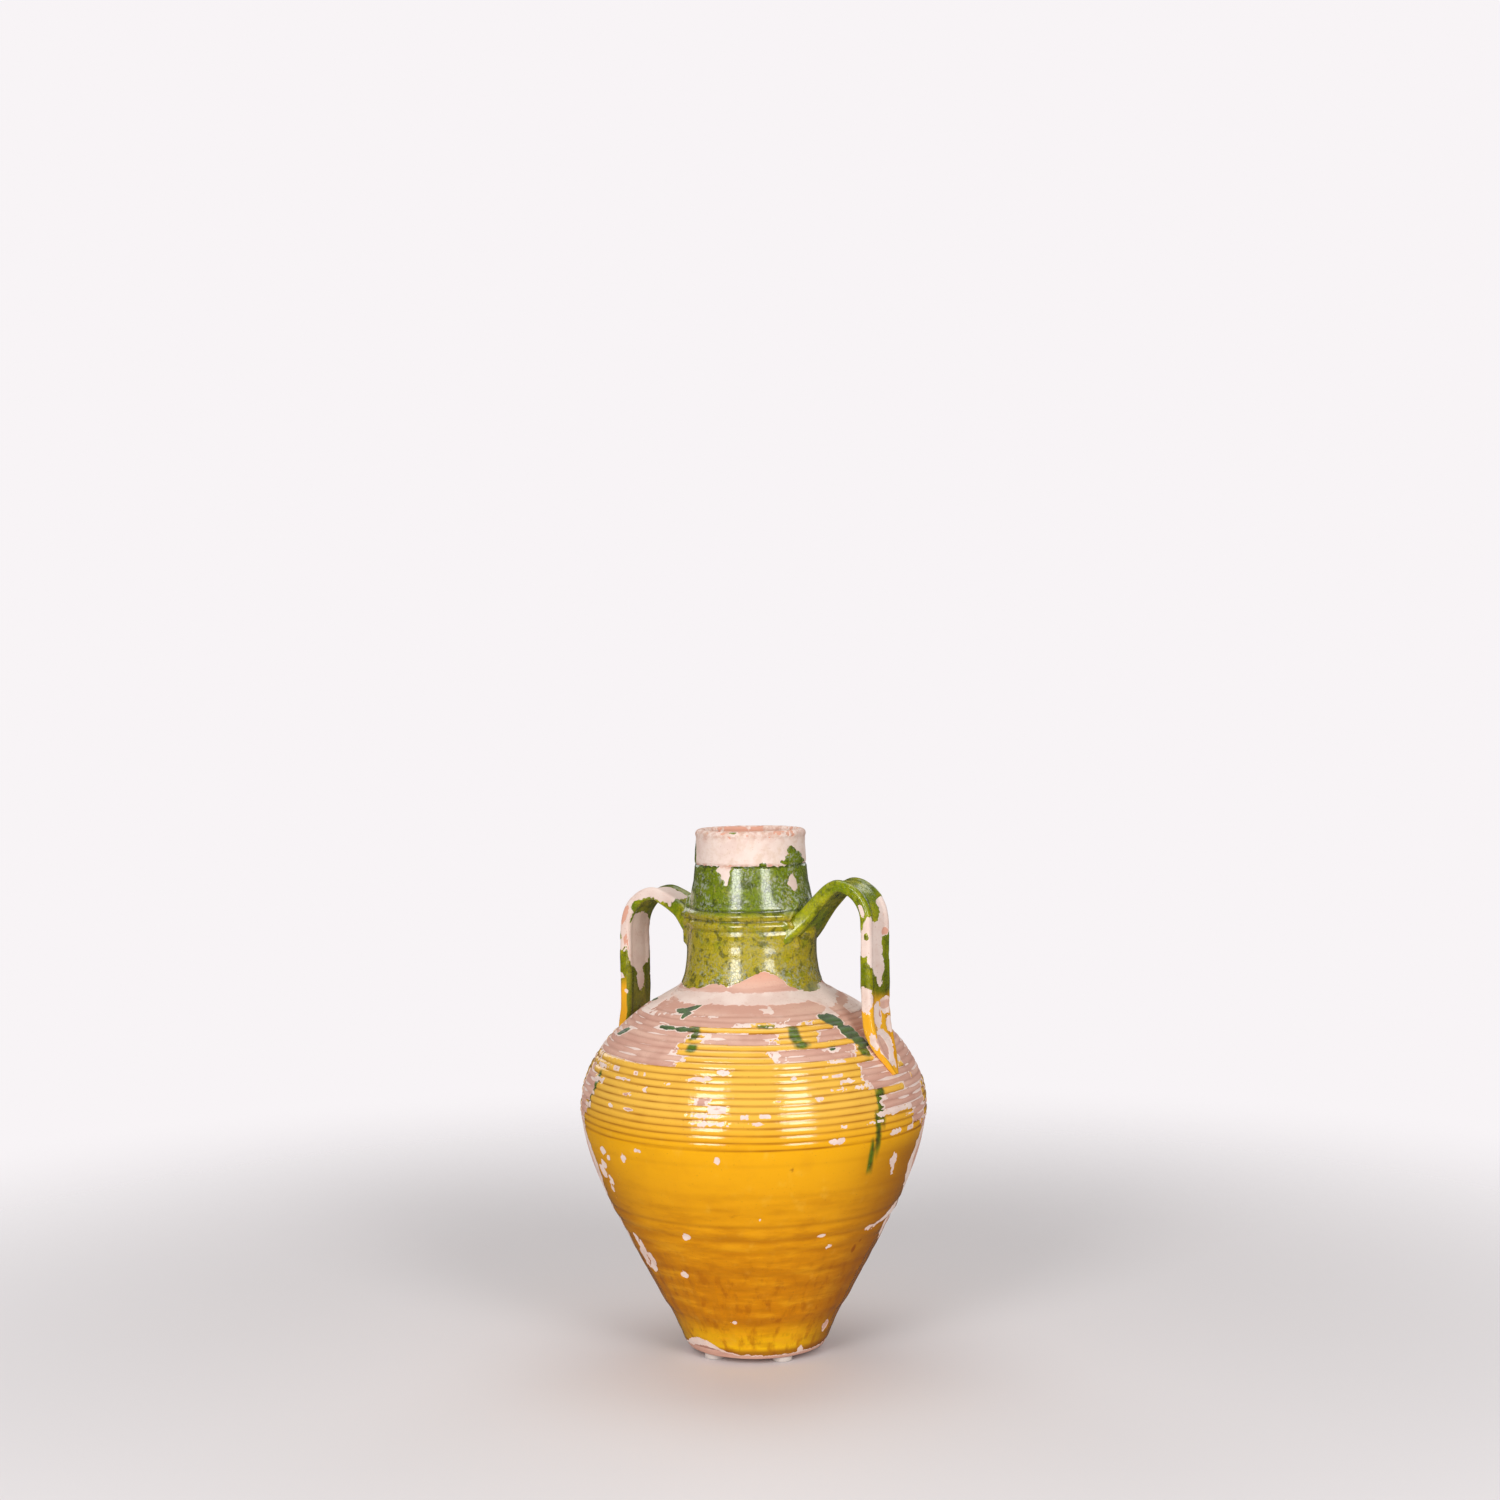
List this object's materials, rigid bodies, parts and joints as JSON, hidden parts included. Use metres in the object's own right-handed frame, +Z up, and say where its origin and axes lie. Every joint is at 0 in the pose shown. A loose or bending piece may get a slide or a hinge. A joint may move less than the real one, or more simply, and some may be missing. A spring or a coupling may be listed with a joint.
{
  "type": "two-handled jar vase",
  "caption": "Two-handled earthenware jar with a combed yellow-glazed belly, flaking green-glazed neck, bare rim collar and felt pads under its foot.",
  "frame": {"origin": "on the jar's axis, in the resting plane under the felt pads", "axes": "+Z up along the jar's axis, through the mouth; +X towards the handle with the higher arch"},
  "size_m": [0.3339, 0.334, 0.5],
  "materials": {
    "clay": "matte, unglazed terracotta",
    "slip": "matte, chalky white slip",
    "yellow_glaze": "glossy, crackled and flaking",
    "green_glaze": "glossy, mottled and flaking",
    "felt": "soft white felt"
  },
  "bodies": {
    "root": {"base_slab": "clay", "lower_wall": "clay", "upper_wall": "clay", "neck": "clay", "rim_collar": "clay", "right_handle": "clay", "left_handle": "clay", "lower_body_glaze": "yellow_glaze", "upper_body_glaze": "yellow_glaze", "shoulder_slip": "slip", "neck_glaze": "green_glaze", "collar_slip": "slip", "right_handle_glaze": "green_glaze", "left_handle_glaze": "green_glaze", "pad_front_left": "felt", "pad_front_right": "felt", "pad_back_right": "felt", "pad_back_left": "felt"}
  },
  "joints": []
}
